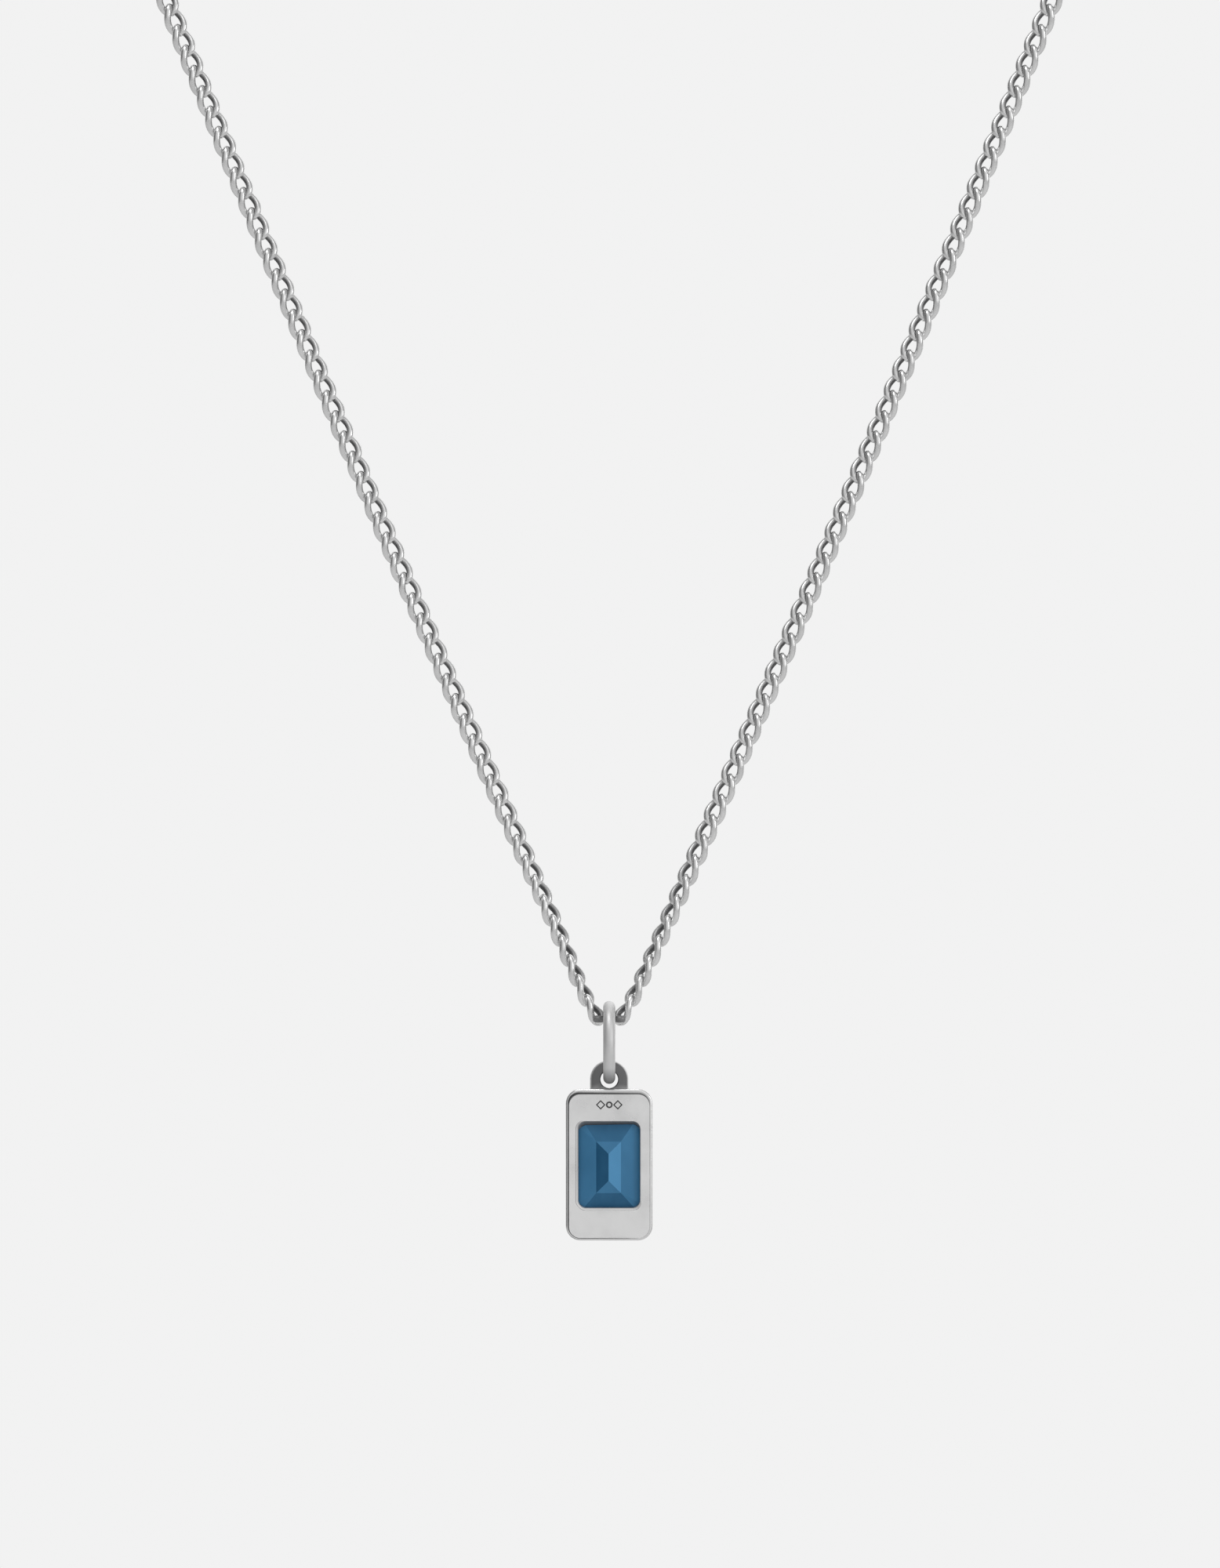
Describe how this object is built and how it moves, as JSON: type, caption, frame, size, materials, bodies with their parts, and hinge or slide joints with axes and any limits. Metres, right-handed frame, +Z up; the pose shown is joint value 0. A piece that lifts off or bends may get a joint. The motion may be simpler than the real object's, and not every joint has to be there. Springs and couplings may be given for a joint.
{
  "type": "pendant necklace",
  "caption": "Fine curb chain necklace with a trigger clasp and a bail ring that carries a slim rectangular pendant set with a step-cut blue stone.",
  "frame": {"origin": "on the nape of the neck, at the middle of the clasp, where the worn chain is held up", "axes": "+Z up, longest; +Y from the nape towards the front of the wearer, shortest; +X to the right when seen from behind the wearer, with the tail of the clasp towards +X"},
  "size_m": [0.1124, 0.0926, 0.1652],
  "materials": {
    "silver": "satin-polished sterling silver",
    "stone": "polished steel-blue step-cut stone"
  },
  "bodies": {
    "neck": {"neck_left_1": "silver", "neck_left_2": "silver", "neck_left_3": "silver", "neck_left_4": "silver", "neck_left_5": "silver", "neck_left_6": "silver", "neck_left_7": "silver", "neck_left_8": "silver", "neck_left_9": "silver", "neck_left_10": "silver", "neck_left_11": "silver", "neck_right_1": "silver", "neck_right_2": "silver", "neck_right_3": "silver", "neck_right_4": "silver", "neck_right_5": "silver", "neck_right_6": "silver", "neck_right_7": "silver", "neck_right_8": "silver", "neck_right_9": "silver", "neck_right_10": "silver", "neck_right_11": "silver", "clasp_ring": "silver", "tail_ring": "silver"},
    "clasp": {"clasp_body": "silver", "clasp_pin": "silver", "clasp_spring": "silver"},
    "lever": {"clasp_lever": "silver"},
    "drop_1": {"drop_left_1": "silver", "drop_right_1": "silver"},
    "drop_2": {"drop_left_2": "silver", "drop_right_2": "silver"},
    "drop_3": {"drop_left_3": "silver", "drop_right_3": "silver"},
    "drop_4": {"drop_left_4": "silver", "drop_right_4": "silver"},
    "drop_5": {"drop_left_5": "silver", "drop_right_5": "silver"},
    "drop_6": {"drop_left_6": "silver", "drop_right_6": "silver"},
    "drop_7": {"drop_left_7": "silver", "drop_right_7": "silver"},
    "drop_8": {"drop_left_8": "silver", "drop_right_8": "silver", "centre_link": "silver"},
    "bail_ring": {"bail_ring": "silver"},
    "pendant": {"pendant_body": "silver", "gemstone": "stone", "stone_collar": "silver"}
  },
  "joints": [
    {"name": "drop_bend_1", "type": "hinge", "parent": "neck", "child": "drop_1", "pos_m": [0, 0.086, -0.0389], "axis": [1, 0, 0], "range_deg": [-10, 10]},
    {"name": "drop_bend_2", "type": "hinge", "parent": "drop_1", "child": "drop_2", "pos_m": [0, 0.086, -0.05192], "axis": [1, 0, 0], "range_deg": [-10, 10]},
    {"name": "drop_bend_3", "type": "hinge", "parent": "drop_2", "child": "drop_3", "pos_m": [0, 0.086, -0.06491], "axis": [1, 0, 0], "range_deg": [-10, 10]},
    {"name": "drop_bend_4", "type": "hinge", "parent": "drop_3", "child": "drop_4", "pos_m": [0, 0.086, -0.07786], "axis": [1, 0, 0], "range_deg": [-10, 10]},
    {"name": "drop_bend_5", "type": "hinge", "parent": "drop_4", "child": "drop_5", "pos_m": [0, 0.086, -0.09079], "axis": [1, 0, 0], "range_deg": [-10, 10]},
    {"name": "drop_bend_6", "type": "hinge", "parent": "drop_5", "child": "drop_6", "pos_m": [0, 0.086, -0.10368], "axis": [1, 0, 0], "range_deg": [-10, 10]},
    {"name": "drop_bend_7", "type": "hinge", "parent": "drop_6", "child": "drop_7", "pos_m": [0, 0.086, -0.11654], "axis": [1, 0, 0], "range_deg": [-10, 10]},
    {"name": "drop_bend_8", "type": "hinge", "parent": "drop_7", "child": "drop_8", "pos_m": [0, 0.086, -0.12937], "axis": [1, 0, 0], "range_deg": [-10, 10]},
    {"name": "ring_swing", "type": "hinge", "parent": "drop_8", "child": "bail_ring", "pos_m": [0, 0.086, -0.142], "axis": [1, 0, 0], "range_deg": [-45, 45]},
    {"name": "pendant_swing", "type": "hinge", "parent": "bail_ring", "child": "pendant", "pos_m": [0, 0.086, -0.14738], "axis": [0, 1, 0], "range_deg": [-40, 40]},
    {"name": "clasp_roll", "type": "hinge", "parent": "neck", "child": "clasp", "pos_m": [0, 0, 0], "axis": [1, 0, 0], "range_deg": [-15, 15]},
    {"name": "clasp_lever_open", "type": "hinge", "parent": "clasp", "child": "lever", "pos_m": [0.0017, 0, -0.00085], "axis": [0, 1, 0], "range_deg": [0, 12], "stiffness_Nm_per_rad": 0.005, "springref_deg": -5.73}
  ]
}
